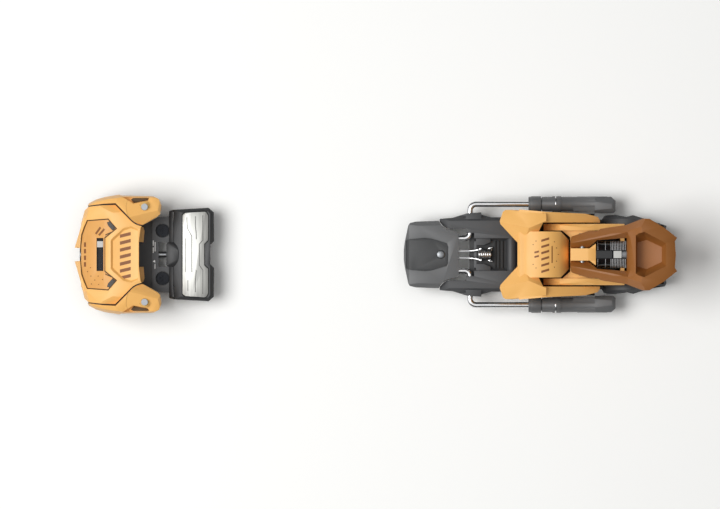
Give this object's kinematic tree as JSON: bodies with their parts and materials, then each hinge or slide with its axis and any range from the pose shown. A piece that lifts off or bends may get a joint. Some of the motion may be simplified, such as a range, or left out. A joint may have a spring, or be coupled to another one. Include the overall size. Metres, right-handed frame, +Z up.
{
  "type": "ski binding",
  "caption": "Step-in ski binding: toe piece with swinging wings and a sliding sole plate, heel piece with a sprung jaw, opening lever and ski brake.",
  "frame": {"origin": "centre of the toe's four ski screws, on the ski's top surface", "axes": "+X towards the ski's tail, +Y to the skier's right, +Z up from the ski"},
  "size_m": [0.4568, 0.0908, 0.086],
  "materials": {
    "yellow_plastic": "moulded, satin",
    "panel_plastic": "moulded, satin",
    "brown_plastic": "moulded, satin",
    "black_plastic": "moulded, matte",
    "dark_plastic": "moulded, matte",
    "grey_plastic": "moulded, matte",
    "gloss_black": "moulded, glossy",
    "chassis_metal": "black coated steel",
    "zinc_steel": "zinc plated",
    "bright_steel": "brushed bright steel",
    "chrome_wire": "polished",
    "black_screw": "black zinc",
    "bronze": "sintered bearing bronze",
    "white_marker": "moulded, matte",
    "lens": "smoked clear plastic"
  },
  "bodies": {
    "ski_base": {"toe_base": "black_plastic", "toe_ski_screws": "black_screw", "toe_tilt_axle": "zinc_steel", "heel_track": "chassis_metal", "heel_ski_screws": "zinc_steel"},
    "afd_carrier": {"afd_carrier": "black_plastic"},
    "afd_wedge": {"afd_wedge": "grey_plastic"},
    "afd_screw": {"afd_screw": "zinc_steel"},
    "afd_sled": {"afd_frame": "black_plastic", "afd_steel_plate": "bright_steel", "afd_return_springs": "zinc_steel"},
    "toe_head": {"toe_chassis": "chassis_metal", "toe_housing": "yellow_plastic", "toe_top_panel": "panel_plastic", "toe_scale_lens": "lens", "toe_scale_strip": "gloss_black", "toe_cowl_left": "yellow_plastic", "toe_cowl_right": "yellow_plastic", "wing_pin_left": "zinc_steel", "wing_pin_right": "zinc_steel", "toe_spring": "zinc_steel"},
    "toe_rod": {"toe_crosshead": "zinc_steel"},
    "toe_release_screw": {"toe_release_screw": "zinc_steel"},
    "toe_spring_nut": {"toe_spring_nut": "zinc_steel"},
    "toe_indicator": {"toe_indicator": "white_marker"},
    "wing_left": {"toe_wing_left": "yellow_plastic", "wing_bush_left": "bronze"},
    "wing_right": {"toe_wing_right": "yellow_plastic", "wing_bush_right": "bronze"},
    "heel_carriage": {"brake_base": "black_plastic", "heel_base": "black_plastic", "jaw_axle": "zinc_steel", "forward_pressure_spring": "zinc_steel", "brake_spring": "chrome_wire"},
    "length_screw": {"length_screw": "zinc_steel"},
    "brake": {"brake_pedal": "grey_plastic", "brake_pedal_pad": "dark_plastic", "brake_pedal_rivet": "bright_steel", "brake_wire_left": "chrome_wire", "brake_wire_right": "chrome_wire", "brake_foot_left": "grey_plastic", "brake_foot_right": "grey_plastic"},
    "heel_jaw": {"heel_jaw": "yellow_plastic", "heel_treadle": "black_plastic", "heel_housing": "yellow_plastic", "heel_spring_sleeve": "gloss_black", "heel_spring": "zinc_steel", "heel_piston": "zinc_steel", "lever_axle": "zinc_steel"},
    "heel_release_screw": {"heel_release_screw": "zinc_steel"},
    "heel_indicator": {"heel_indicator": "bright_steel"},
    "heel_lever": {"heel_lever": "brown_plastic"}
  },
  "joints": [
    {"name": "afd_height", "type": "slide", "parent": "ski_base", "child": "afd_carrier", "axis": [0, 0, 1], "range_m": [-0.002, 0]},
    {"name": "afd_wedge_slide", "type": "slide", "parent": "ski_base", "child": "afd_wedge", "axis": [1, 0, 0], "range_m": [0, 0.0075]},
    {"name": "afd_screw_turn", "type": "hinge", "parent": "ski_base", "child": "afd_screw", "pos_m": [0.036, 0, 0.0056], "axis": [1, 0, 0], "range_deg": [-1800, 0]},
    {"name": "afd_slide", "type": "slide", "parent": "afd_carrier", "child": "afd_sled", "axis": [0, 1, 0], "range_m": [-0.006, 0.006], "stiffness_N_per_m": 1500, "deforming": ["afd_return_springs"]},
    {"name": "toe_tilt", "type": "hinge", "parent": "ski_base", "child": "toe_head", "pos_m": [-0.033, 0, 0.0095], "axis": [0, -1, 0], "range_deg": [0, 10]},
    {"name": "toe_rod_pull", "type": "slide", "parent": "toe_head", "child": "toe_rod", "axis": [1, 0, 0], "range_m": [0, 0.004], "stiffness_N_per_m": 1000, "springref_m": -0.004, "deforming": ["toe_spring"]},
    {"name": "toe_release_turn", "type": "hinge", "parent": "toe_rod", "child": "toe_release_screw", "pos_m": [-0.025, 0, 0.025], "axis": [1, 0, 0], "range_deg": [-1080, 180]},
    {"name": "toe_nut_slide", "type": "slide", "parent": "toe_rod", "child": "toe_spring_nut", "axis": [1, 0, 0], "range_m": [-0.00075, 0.0045], "deforming": ["toe_spring"]},
    {"name": "toe_indicator_slide", "type": "slide", "parent": "toe_head", "child": "toe_indicator", "axis": [0, 1, 0], "range_m": [-0.0135, 0.0023]},
    {"name": "wing_left_turn", "type": "hinge", "parent": "toe_head", "child": "wing_left", "pos_m": [0.0081, -0.0361, 0.02], "axis": [0, 0, -1], "range_deg": [0, 30], "stiffness_Nm_per_rad": 0.2, "springref_deg": -5.73},
    {"name": "wing_right_turn", "type": "hinge", "parent": "toe_head", "child": "wing_right", "pos_m": [0.0081, 0.0361, 0.02], "axis": [0, 0, 1], "range_deg": [0, 30], "stiffness_Nm_per_rad": 0.2, "springref_deg": -5.73},
    {"name": "heel_slide", "type": "slide", "parent": "ski_base", "child": "heel_carriage", "axis": [1, 0, 0], "range_m": [-0.012, 0.012]},
    {"name": "length_screw_turn", "type": "hinge", "parent": "heel_carriage", "child": "length_screw", "pos_m": [0.4, 0, 0.0096], "axis": [1, 0, 0], "range_deg": [-1440, 1440]},
    {"name": "brake_turn", "type": "hinge", "parent": "heel_carriage", "child": "brake", "pos_m": [0.2554, 0, 0.01], "axis": [0, 1, 0], "range_deg": [0, 48]},
    {"name": "heel_jaw_turn", "type": "hinge", "parent": "heel_carriage", "child": "heel_jaw", "pos_m": [0.346, 0, 0.024], "axis": [0, 1, 0], "range_deg": [0, 27]},
    {"name": "heel_lever_turn", "type": "hinge", "parent": "heel_jaw", "child": "heel_lever", "pos_m": [0.34, 0, 0.05], "axis": [0, 1, 0], "range_deg": [0, 15]},
    {"name": "heel_release_turn", "type": "hinge", "parent": "heel_jaw", "child": "heel_release_screw", "pos_m": [0.372, 0, 0.042], "axis": [1, 0, 0], "range_deg": [-1080, 150]},
    {"name": "heel_indicator_slide", "type": "slide", "parent": "heel_jaw", "child": "heel_indicator", "axis": [1, 0, 0], "range_m": [-0.00048, 0.0035]}
  ],
  "couplings": [
    {"joint": "afd_wedge_slide", "follows": "afd_height", "ratio": -3.7321},
    {"joint": "afd_screw_turn", "follows": "afd_height", "rad_per_m": 15633},
    {"joint": "toe_release_turn", "follows": "toe_nut_slide", "rad_per_m": -4188.8},
    {"joint": "toe_indicator_slide", "follows": "toe_nut_slide", "ratio": -2.932},
    {"joint": "length_screw_turn", "follows": "heel_slide", "rad_per_m": 2094.4},
    {"joint": "heel_lever_turn", "follows": "heel_jaw_turn", "ratio": 0.55556},
    {"joint": "heel_release_turn", "follows": "heel_indicator_slide", "rad_per_m": -5376.3}
  ]
}
